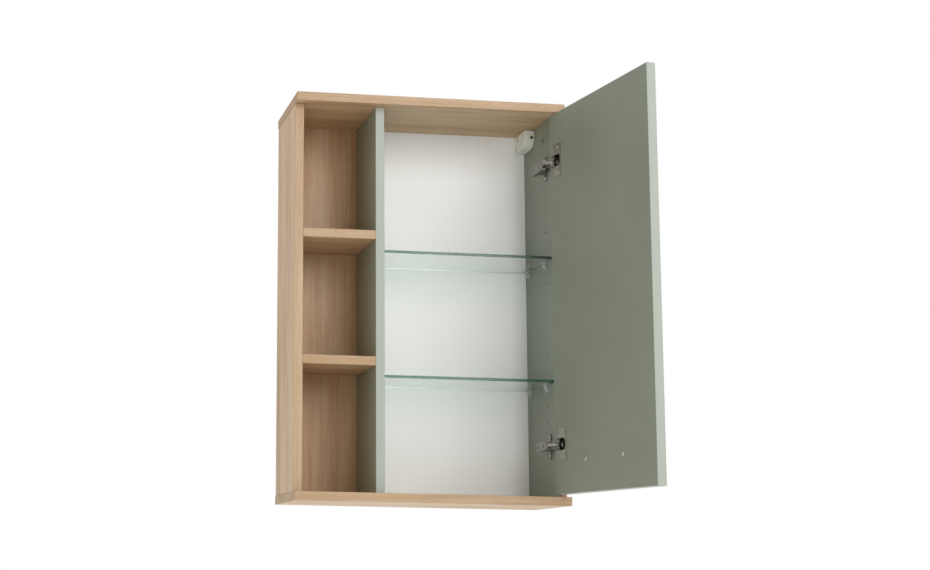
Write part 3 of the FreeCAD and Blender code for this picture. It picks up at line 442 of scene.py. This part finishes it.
brushed, given, made = new_group(
    "brushed",
    [("Vector", "Vector", None), ("Stretch", "Vector", (1, 1, 0.05)), ("Line Width", "Float", 0.0003)],
    [("Line", "Float"), ("Cloud", "Float")])
drawn = vector_of(brushed, "MULTIPLY", given["Vector"], given["Stretch"])
lines = add(brushed, "TexNoise", {"Vector": drawn, "Detail": 2.0,
                                  "Scale": math_of(brushed, "DIVIDE", 1.0, given["Line Width"])})
clouds = add(brushed, "TexNoise", {"Vector": given["Vector"], "Scale": CLOUDS_PER_METRE, "Detail": 3.0})
brushed.links.new(lines.outputs["Fac"], made["Line"])
brushed.links.new(clouds.outputs["Fac"], made["Cloud"])


def metal(name, dark, bright, polish, stretch, depth=0.00003, strength=0.3):
    """A metal with faint lines along its stretch, whose polish varies between two roughnesses."""
    material, tree, shader, point = new_material(name)
    lines = use(tree, brushed, Vector=point, Stretch=stretch)
    shader.inputs["Metallic"].default_value = 1.0
    colour = blend_colours(tree, lines["Cloud"], dark, bright)
    roughness = spread(tree, lines["Cloud"], 0.3, 0.7, *polish)
    finish_with(tree, shader, colour, roughness, lines["Line"], depth, strength)
    return material


AS_CAST = (1, 1, 1)
DRAWN_UP = (1, 1, 0.1)
worn_zinc = metal("worn_zinc", tint(136, 138, 129), tint(164, 166, 156), (0.4, 0.55), AS_CAST, depth=0.0001)
zinc_plate = metal("zinc_plate", tint(188, 190, 188), tint(214, 216, 214), (0.25, 0.4), DRAWN_UP)
dress("cam_locks", worn_zinc)
dress("cam_bolts", zinc_plate)

# ---- mirror ------------------------------------------------------------------------------------------
# Silvered glass with a narrow bevel, stuck to the door's outer face with strips of foam tape. Its front
# reflects, its rim shows the green of the glass, and its back is grey paint.

MIRROR_OFF = 0.001
MIRROR_MARGIN = 0.010
MIRROR_FOOT = 0.116
MIRROR_RIM = 0.0008
MIRROR_PAINT = 0.0002

mirror, tree, shader, point = new_material("silvered_glass")
place = in_door(tree, point)
rim = use(tree, edge_strip, Vector=place, Low=(MIRROR_MARGIN, -FAR, MIRROR_FOOT),
          High=(door_width - MIRROR_MARGIN, FAR, door_height - MIRROR_MARGIN), Strip=MIRROR_RIM)
marks = use(tree, handling, Vector=point, Patch_Size=0.09)
out_of = add(tree, "SeparateXYZ", {0: place}).outputs[1]
paint_ends = BOARD_THICK + MIRROR_OFF + MIRROR_PAINT
painted = spread(tree, out_of, paint_ends, paint_ends + FILM_SOFTNESS, 1.0, 0.0)
colour = blend_colours(tree, rim["Mask"], tint(236, 240, 239), tint(120, 158, 145))
colour = blend_colours(tree, painted, colour, tint(92, 94, 96))
glassy = math_of(tree, "MAXIMUM", painted, math_of(tree, "MULTIPLY", rim["Mask"], 0.6))
tree.links.new(math_of(tree, "SUBTRACT", 1.0, glassy), shader.inputs["Metallic"])
roughness = math_of(tree, "ADD", spread(tree, marks["Smudge"], 0.45, 0.8, 0.01, 0.035),
                    math_of(tree, "MULTIPLY", painted, 0.5))
finish_with(tree, shader, colour, roughness)
dress("mirror_glass", mirror)

foam, tree, shader, point = new_material("foam_tape")
marks = use(tree, handling, Vector=point, Patch_Size=0.01)
colour = blend_colours(tree, marks["Speck"], tint(214, 214, 208), tint(236, 236, 232))
roughness = spread(tree, marks["Speck"], 0, 1, 0.75, 0.95)
finish_with(tree, shader, colour, roughness, marks["Speck"], depth=0.0003, strength=0.6)
dress("mirror_tape_pads", foam)

# ---- handle ------------------------------------------------------------------------------------------
# A round bar bent to a bow, satin nickel over steel, held through the door by two screws from inside.

satin_bar = metal("satin_bar", tint(178, 176, 170), tint(198, 196, 191), (0.26, 0.36), (0.05, 1, 1),
                  depth=0.00001, strength=0.12)
dress("door_handle", satin_bar)

# ---- hinges ------------------------------------------------------------------------------------------
# Two concealed hinges, pressed and die-cast, nickel plated. The cup sits in the door, two links join it to
# the arm, and the arm slides on a winged plate that is screwed to the side. A cup's well is painted with
# shade, darker the deeper it goes.

CUP_FACE = -0.0002
CUP_PAINTED_SHADE_FULL = 0.004

dull_zinc = metal("dull_zinc", tint(128, 128, 118), tint(156, 156, 146), (0.35, 0.5), AS_CAST, depth=0.0001)
nickel = metal("nickel_plate", tint(132, 130, 120), tint(164, 162, 152), (0.24, 0.38), (1, 0.08, 1))
for level in ("lower", "upper"):
    for piece in ("outer_link", "inner_link", "arm"):
        dress(f"hinge_{piece}_{level}", nickel)
    dress(f"hinge_plate_{level}", dull_zinc)

cup_metal, tree, shader, point = new_material("cup_shell")
lines = use(tree, brushed, Vector=point, Stretch=AS_CAST)
deep_in = add(tree, "SeparateXYZ", {0: in_door(tree, point)}).outputs[1]
# Painted shade: the cup's metal darkens the deeper it goes into the door.
well_painted_shade = spread(tree, deep_in, CUP_FACE, CUP_PAINTED_SHADE_FULL)
bright = blend_colours(tree, lines["Cloud"], tint(138, 137, 125), tint(168, 167, 155))
colour = blend_colours(tree, well_painted_shade, bright, tint(112, 110, 98))
shader.inputs["Metallic"].default_value = 1.0
roughness = spread(tree, lines["Cloud"], 0.3, 0.7, 0.2, 0.36)
finish_with(tree, shader, colour, roughness, lines["Line"], depth=0.00003, strength=0.2)
for node in ("hinge_cup_lower", "hinge_cup_upper"):
    dress(node, cup_metal)
pin_steel = metal("pin_steel", tint(150, 150, 148), tint(186, 186, 184), (0.2, 0.35), DRAWN_UP)
for node in ("hinge_arm_pins", "hinge_cup_pins", "hinge_inner_link_pins"):
    dress(node, pin_steel)

# ---- screws ------------------------------------------------------------------------------------------
# Cross-recess screws hold the cups, the wing plates, the arms, the handle and the hangers. Each kind is one
# domed head over a shank, set wherever the frame has a screw and pointing the way that one points.

SAME_POINT = 1e-6
HEAD_SEGMENTS, HEAD_RINGS, SHANK_SEGMENTS = 28, 14, 24
HEAD_CUT_WIDTH = 3.0
HEAD_CUT_MIDDLE = 0.55
RECESS_REACH = 1.1
RECESS_MIDDLE = 0.95
RECESS_WIDTH = 0.26


def solids_of(node, direction):
    """The middle of the end of each of a node's solids, the end that lies furthest back along a direction."""
    shape = bmesh.new()
    shape.from_mesh(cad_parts[node].data)
    bmesh.ops.remove_doubles(shape, verts=shape.verts, dist=SAME_POINT)
    left = set(shape.verts)
    ends = []
    while left:
        island = [left.pop()]
        for vert in island:
            for edge in vert.link_edges:
                other = edge.other_vert(vert)
                if other in left:
                    left.discard(other)
                    island.append(other)
        corners = [vert.co.copy() for vert in island]
        low = Vector([min(c[k] for c in corners) for k in range(3)])
        high = Vector([max(c[k] for c in corners) for k in range(3)])
        middle = (low + high) / 2
        start = min((c - middle).dot(direction) for c in corners)
        ends.append(middle + direction * start)
    shape.free()
    return sorted(ends, key=lambda end: tuple(round(v, 5) for v in end))


screw_tree = bpy.data.node_groups.new("set_screws", "GeometryNodeTree")
screw_tree.interface.new_socket("Geometry", in_out="INPUT", socket_type="NodeSocketGeometry")
for label, value in (("Head Radius", 0.004), ("Head Height", 0.0014), ("Shank Radius", 0.0018),
                     ("Length", 0.012), ("Recess Width", 0.0009)):
    socket = screw_tree.interface.new_socket(label, in_out="INPUT", socket_type="NodeSocketFloat")
    socket.default_value = value
screw_tree.interface.new_socket("Aim", in_out="INPUT", socket_type="NodeSocketVector")
screw_tree.interface.new_socket("Material", in_out="INPUT", socket_type="NodeSocketMaterial")
screw_tree.interface.new_socket("Geometry", in_out="OUTPUT", socket_type="NodeSocketGeometry")
given = screw_tree.nodes.new("NodeGroupInput").outputs
result = screw_tree.nodes.new("NodeGroupOutput").inputs


def times(part, factor):
    return math_of(screw_tree, "MULTIPLY", part, factor)


def three(x, y, z):
    return add(screw_tree, "CombineXYZ", {0: x, 1: y, 2: z}).outputs[0]


def moved_up(mesh, height):
    """The same mesh, moved along the screw's own axis."""
    return place_node(screw_tree, "GeometryNodeTransform", {
        "Geometry": mesh, "Translation": three(0.0, 0.0, height)}).outputs["Geometry"]


# The head is the top of a flattened ball, cut by a cross.
dome_radius, dome_height = given["Head Radius"], given["Head Height"]
ball = place_node(screw_tree, "GeometryNodeMeshUVSphere", {
    "Segments": HEAD_SEGMENTS, "Rings": HEAD_RINGS, "Radius": 1.0}).outputs["Mesh"]
dome = place_node(screw_tree, "GeometryNodeTransform", {
    "Geometry": ball, "Scale": three(dome_radius, dome_radius, dome_height)}).outputs["Geometry"]
cut_width = times(dome_radius, HEAD_CUT_WIDTH)
keep = place_node(screw_tree, "GeometryNodeMeshCube", {
    "Size": three(cut_width, cut_width, dome_height)}).outputs["Mesh"]
keep = moved_up(keep, times(dome_height, HEAD_CUT_MIDDLE))
head = place_node(screw_tree, "GeometryNodeMeshBoolean", operation="INTERSECT")
screw_tree.links.new(dome, head.inputs["Mesh 2"])
screw_tree.links.new(keep, head.inputs["Mesh 2"])
cross = place_node(screw_tree, "GeometryNodeMeshBoolean", {"Mesh 1": head.outputs["Mesh"]},
                   operation="DIFFERENCE")
reach = times(dome_radius, RECESS_REACH)
for bar_x, bar_y in ((reach, given["Recess Width"]), (given["Recess Width"], reach)):
    bar = place_node(screw_tree, "GeometryNodeMeshCube", {
        "Size": three(bar_x, bar_y, dome_height)}).outputs["Mesh"]
    screw_tree.links.new(moved_up(bar, times(dome_height, RECESS_MIDDLE)), cross.inputs["Mesh 2"])
shank = place_node(screw_tree, "GeometryNodeMeshCylinder", {
    "Vertices": SHANK_SEGMENTS, "Radius": given["Shank Radius"], "Depth": given["Length"]}).outputs["Mesh"]
whole = place_node(screw_tree, "GeometryNodeJoinGeometry")
screw_tree.links.new(cross.outputs["Mesh"], whole.inputs["Geometry"])
screw_tree.links.new(moved_up(shank, times(given["Length"], -0.5)), whole.inputs["Geometry"])
facing = place_node(screw_tree, "FunctionNodeAlignRotationToVector", {"Vector": given["Aim"]}, axis="Z")
seats = place_node(screw_tree, "GeometryNodeMeshToPoints", {"Mesh": given["Geometry"]})
placed = place_node(screw_tree, "GeometryNodeInstanceOnPoints", {
    "Points": seats.outputs["Points"], "Instance": whole.outputs["Geometry"],
    "Rotation": facing.outputs["Rotation"]})
solid = place_node(screw_tree, "GeometryNodeRealizeInstances", {"Geometry": placed.outputs["Instances"]})
coated = place_node(screw_tree, "GeometryNodeSetMaterial", {
    "Geometry": solid.outputs["Geometry"], "Material": given["Material"]})
screw_tree.links.new(coated.outputs["Geometry"], result["Geometry"])


def baked(name, tree, points, inputs):
    """Runs a tree on a cloud of points and keeps the result as a plain mesh."""
    cloud = bpy.data.meshes.new(name + "_points")
    cloud.from_pydata(points, [], [])
    holder = bpy.data.objects.new(name + "_points", cloud)
    bpy.context.scene.collection.objects.link(holder)
    modifier = holder.modifiers.new("made", "NODES")
    modifier.node_group = tree
    sockets = {item.name: item.identifier for item in tree.interface.items_tree
               if item.item_type == "SOCKET" and item.in_out == "INPUT"}
    for label, value in inputs.items():
        modifier[sockets[label]] = value
    bpy.context.view_layer.update()
    evaluated = holder.evaluated_get(bpy.context.evaluated_depsgraph_get())
    mesh = bpy.data.meshes.new_from_object(evaluated)
    mesh.name = name
    piece = bpy.data.objects.new(name, mesh)
    bpy.context.scene.collection.objects.link(piece)
    holder.modifiers.remove(modifier)
    bpy.data.objects.remove(holder)
    return piece


screw_steel = metal("screw_steel", tint(170, 168, 162), tint(208, 206, 200), (0.2, 0.38), (1, 1, 0.2))
RIGHT, LEFT = Vector((1, 0, 0)), Vector((-1, 0, 0))
for name, stands_for, body, into, starts, head_radius, head_height, shank, length in (
    ("cup_screws", "hinge_cup_screws", "door", door_out, None, 0.0034, 0.0014, 0.00175, 0.0105),
    ("plate_screws", "hinge_plate_screws", "cabinet", RIGHT, None, 0.0042, 0.0014, 0.0025, 0.0125),
    ("arm_screws", "hinge_arm_screws", "cabinet", RIGHT, None, 0.0029, 0.0013, 0.0019, 0.0067),
    ("handle_fixings", "handle_screws", "door", door_out, None, 0.0042, 0.0024, 0.002, 0.025),
    ("hanger_fixings_right", "hanger_screws", "cabinet", RIGHT, "right", 0.0034, 0.002, 0.00175, 0.0105),
    ("hanger_fixings_left", "hanger_screws", "cabinet", LEFT, "left", 0.0034, 0.002, 0.00175, 0.0105),
):
    ends = solids_of(stands_for, into)
    if starts:
        ends = [end for end in ends if (end.x > 0) == (starts == "right")]
    seats_at = [end + into * head_height for end in ends]
    screws = baked(name, screw_tree, seats_at, {
        "Head Radius": head_radius, "Head Height": head_height, "Shank Radius": shank, "Length": length,
        "Recess Width": head_radius * RECESS_WIDTH, "Aim": -into, "Material": screw_steel})
    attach(screws, body)
    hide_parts(stands_for)

# ---- wall hangers ------------------------------------------------------------------------------------
# Off-white nylon housings, screwed inside at the top of the compartment, each with a plated hook through
# the back. Two turning adjusters in each housing raise the hook and draw it in. A small blind eye in the
# front of each is painted dark inside with painted shade.

EYE_RADIUS = 0.0026
EYE_FROM_WALL = 0.0045
EYE_DROP = 0.013
EYE_LIP = 0.0004

for side in ("left", "right"):
    nylon, tree, shader, point = new_material("off_white_nylon_" + side)
    low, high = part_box("hanger_housing_" + side)
    eye_x = low.x + EYE_FROM_WALL if side == "left" else high.x - EYE_FROM_WALL
    flat = vector_of(tree, "MULTIPLY", point, (1, 0, 1))
    off_eye = add(tree, "VectorMath", {0: flat, 1: (eye_x, 0, high.z - EYE_DROP)}, operation="DISTANCE")
    eye_painted_shade = spread(tree, off_eye.outputs["Value"], EYE_RADIUS + EYE_LIP, EYE_RADIUS + EYE_LIP / 2)
    marks = use(tree, handling, Vector=point, Patch_Size=0.03)
    colour = blend_colours(tree, marks["Smudge"], tint(226, 227, 214), tint(240, 241, 229))
    # Painted shade: a dark disc for the shade inside the eye's hole.
    colour = blend_colours(tree, eye_painted_shade, colour, tint(62, 60, 50))
    roughness = spread(tree, marks["Smudge"], 0.3, 0.7, 0.4, 0.52)
    finish_with(tree, shader, colour, roughness, marks["Speck"], depth=0.0001, strength=0.3)
    dress("hanger_housing_" + side, nylon)
    dress("hanger_hook_" + side, zinc_plate)
dress("hanger_adjusters", zinc_plate)

# ---- studio ------------------------------------------------------------------------------------------
# A pale floor far below the cabinet, which gives off some light itself, a surround that is white behind the
# cabinet and a soft grey to what it lights, and three large soft lamps. The strongest stands in front and a
# little to the right, and the others fill in from the two sides.

FLOOR_DROP = 0.75
FLOOR_HALF = 30.0
FLOOR_GLOW = 0.88
SURROUND_STRENGTH = 0.72

cad_low, cad_high = cad_bounds
floor_mesh = bpy.data.meshes.new("studio_floor")
floor_z = cad_low.z - FLOOR_DROP
floor_mesh.from_pydata(
    [(x * FLOOR_HALF, y * FLOOR_HALF, floor_z) for x, y in ((-1, -1), (1, -1), (1, 1), (-1, 1))],
    [], [(0, 1, 2, 3)])
studio_floor = bpy.data.objects.new("studio_floor", floor_mesh)
bpy.context.scene.collection.objects.link(studio_floor)
pale, tree, shader, point = new_material("pale_floor")
marks = use(tree, handling, Vector=point, Patch_Size=2.0)
colour = blend_colours(tree, marks["Smudge"], tint(92, 92, 91), tint(97, 97, 96))
shader.inputs["Emission Color"].default_value = (1, 1, 1, 1)
shader.inputs["Emission Strength"].default_value = FLOOR_GLOW
shader.inputs["Specular IOR Level"].default_value = 0.2
finish_with(tree, shader, colour, spread(tree, marks["Smudge"], 0, 1, 0.8, 0.9))
dress(studio_floor, pale)


def grey(level):
    return (level, level, level, 1)


world = bpy.data.worlds.new("studio")
world.use_nodes = True
tree = world.node_tree
up = add(tree, "SeparateXYZ", {0: add(tree, "TexCoord").outputs["Generated"]}).outputs[2]
surround = ramp(tree, spread(tree, up, 0.0, 0.9), [(0.0, grey(0.84)), (0.3, grey(0.88)), (1.0, grey(0.93))])
seen = add(tree, "LightPath").outputs["Is Camera Ray"]
surround = blend_colours(tree, seen, surround, (1, 1, 1, 1))
strength = spread(tree, seen, 0, 1, SURROUND_STRENGTH, 1.0)
tree.links.new(surround, tree.nodes["Background"].inputs["Color"])
tree.links.new(strength, tree.nodes["Background"].inputs["Strength"])
bpy.context.scene.world = world
bpy.context.scene.view_settings.view_transform = "Standard"

cabinet_middle = (cad_low + cad_high) / 2
for name, offset, width, height, watts in (
    ("front_lamp", Vector((0.9, -3.2, 1.0)), 1.8, 1.8, 54),
    ("left_lamp", Vector((-3.2, -1.3, 0.3)), 1.8, 2.4, 7),
    ("right_lamp", Vector((3.0, -0.4, 0.6)), 1.6, 2.0, 10),
):
    lamp = bpy.data.lights.new(name, "AREA")
    lamp.shape = "RECTANGLE"
    lamp.size, lamp.size_y, lamp.energy = width, height, watts
    holder = bpy.data.objects.new(name, lamp)
    holder.location = cabinet_middle + offset
    holder.rotation_euler = (-offset).to_track_quat("-Z", "Y").to_euler()
    bpy.context.scene.collection.objects.link(holder)

# ---- camera ------------------------------------------------------------------------------------------
# It stands in front of the cabinet, low and to the left, and looks up a little. It is partly turned to the
# cabinet, and the lens is shifted for the rest.

CAMERA_PLACE = (-0.7727, -3.0709, -0.8589)
CAMERA_TURN = math.radians(-6.794)
CAMERA_TILT = math.radians(98.98)
CAMERA_ROLL = math.radians(0.918)

camera_data = bpy.data.cameras.new("camera")
camera_data.sensor_width = 36
camera_data.lens = 64.37
camera_data.shift_x, camera_data.shift_y = 0.291, 0.0289
camera_data.clip_end = 100
camera = bpy.data.objects.new("camera", camera_data)
camera.matrix_world = (
    Matrix.Translation(CAMERA_PLACE) @ Matrix.Rotation(CAMERA_TURN, 4, "Z")
    @ Matrix.Rotation(CAMERA_TILT, 4, "X") @ Matrix.Rotation(CAMERA_ROLL, 4, "Z"))
bpy.context.scene.collection.objects.link(camera)
bpy.context.scene.camera = camera
